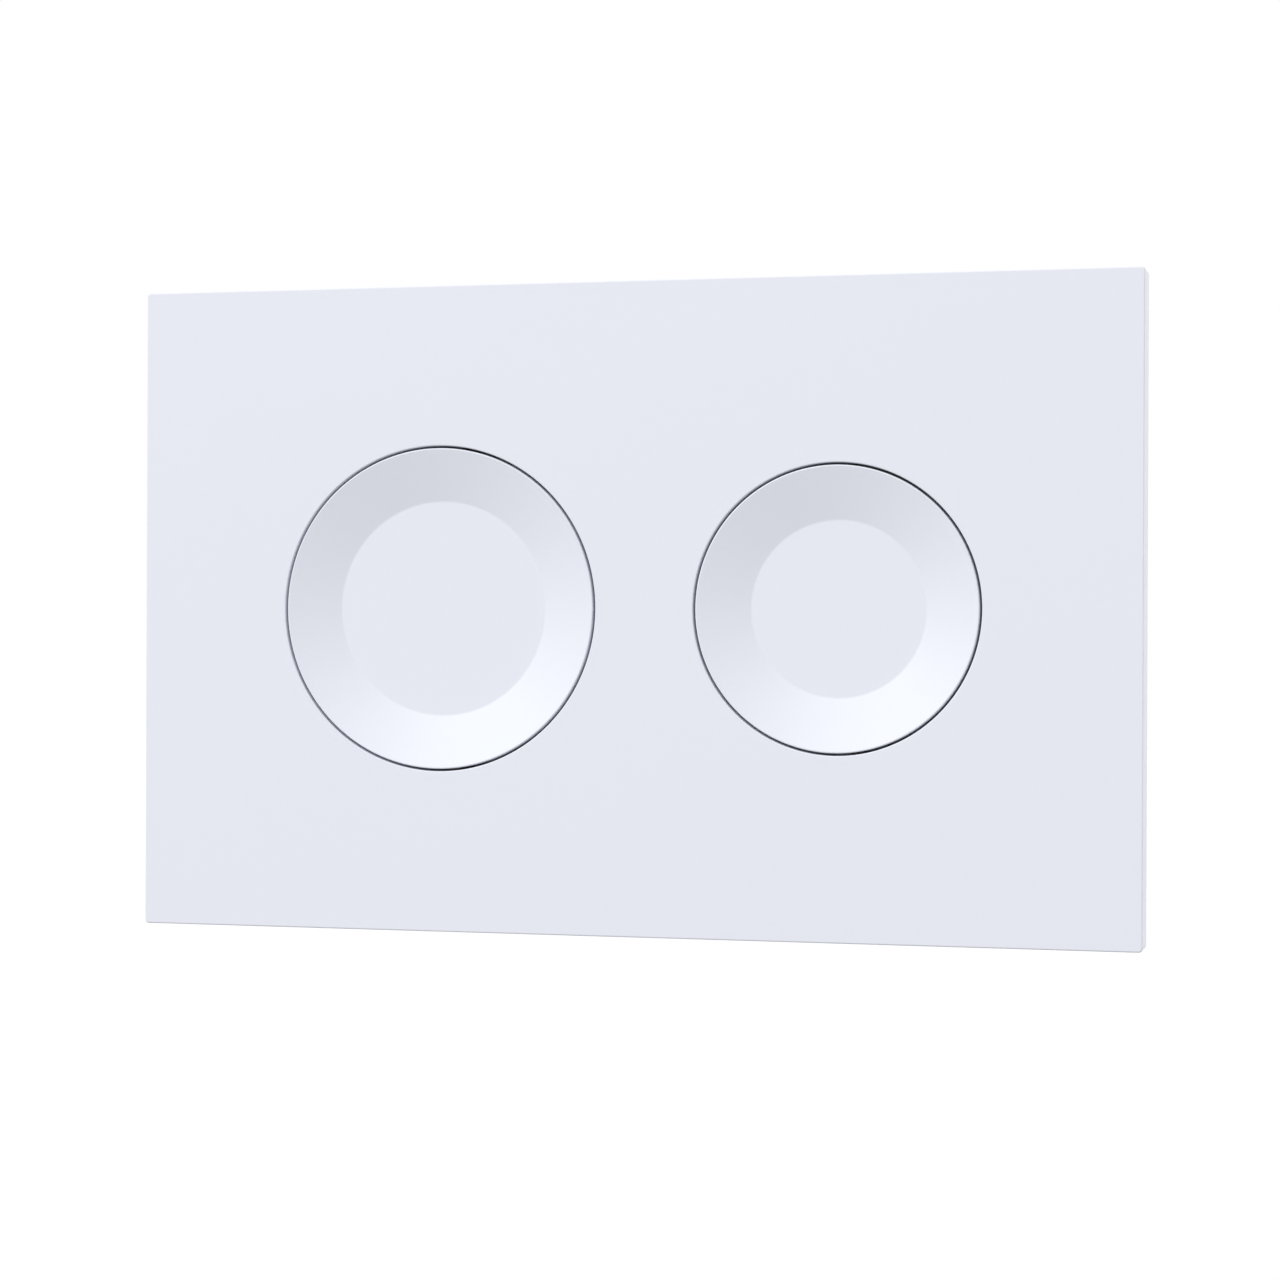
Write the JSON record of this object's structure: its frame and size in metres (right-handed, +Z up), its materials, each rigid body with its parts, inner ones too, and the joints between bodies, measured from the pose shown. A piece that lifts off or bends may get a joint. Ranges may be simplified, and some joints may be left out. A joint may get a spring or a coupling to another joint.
{
  "type": "flush button plate",
  "caption": "Rectangular white dual flush plate for a concealed cistern: a large and a small round dished button, each sprung, press rods through a frame fixed in the wall.",
  "frame": {"origin": "centre of the plate in the wall plane, on which the back edge of the panel's rim lies", "axes": "+X to the right and +Z up for the person in front of it, +Y into the wall"},
  "size_m": [0.251, 0.0758, 0.16],
  "materials": {
    "panel_white": "satin moulded ABS",
    "button_white": "satin moulded ABS",
    "chassis_grey": "fine grained ABS",
    "frame_grey": "moulded polypropylene",
    "acetal_white": "smooth acetal",
    "rod_blue_grey": "threaded acetal",
    "stud_grey": "threaded glass-filled nylon",
    "nut_grey": "moulded nylon",
    "rubber_black": "soft EPDM",
    "zinc_steel": "zinc plated steel",
    "clip_steel": "stainless spring steel strip",
    "spring_steel": "stainless spring wire"
  },
  "bodies": {
    "plate": {"front_panel": "panel_white", "button_chassis": "chassis_grey", "chassis_screws": "zinc_steel", "mounting_frame": "frame_grey", "fixing_stud_left": "stud_grey", "fixing_stud_right": "stud_grey", "thumb_nut_left": "nut_grey", "thumb_nut_right": "nut_grey", "full_return_spring": "spring_steel", "half_return_spring": "spring_steel"},
    "full_button": {"full_button_cap": "button_white", "full_plunger": "acetal_white", "full_stop_washer": "rubber_black", "full_stop_clip": "clip_steel", "full_push_rod": "rod_blue_grey", "full_rod_locknut": "nut_grey"},
    "half_button": {"half_button_cap": "button_white", "half_plunger": "acetal_white", "half_stop_washer": "rubber_black", "half_stop_clip": "clip_steel", "half_push_rod": "rod_blue_grey", "half_rod_locknut": "nut_grey"}
  },
  "joints": [
    {"name": "full_button_press", "type": "slide", "parent": "plate", "child": "full_button", "axis": [0, 1, 0], "range_m": [0, 0.005], "stiffness_N_per_m": 500, "springref_m": -0.004, "deforming": ["full_return_spring"]},
    {"name": "half_button_press", "type": "slide", "parent": "plate", "child": "half_button", "axis": [0, 1, 0], "range_m": [0, 0.005], "stiffness_N_per_m": 500, "springref_m": -0.004, "deforming": ["half_return_spring"]}
  ]
}
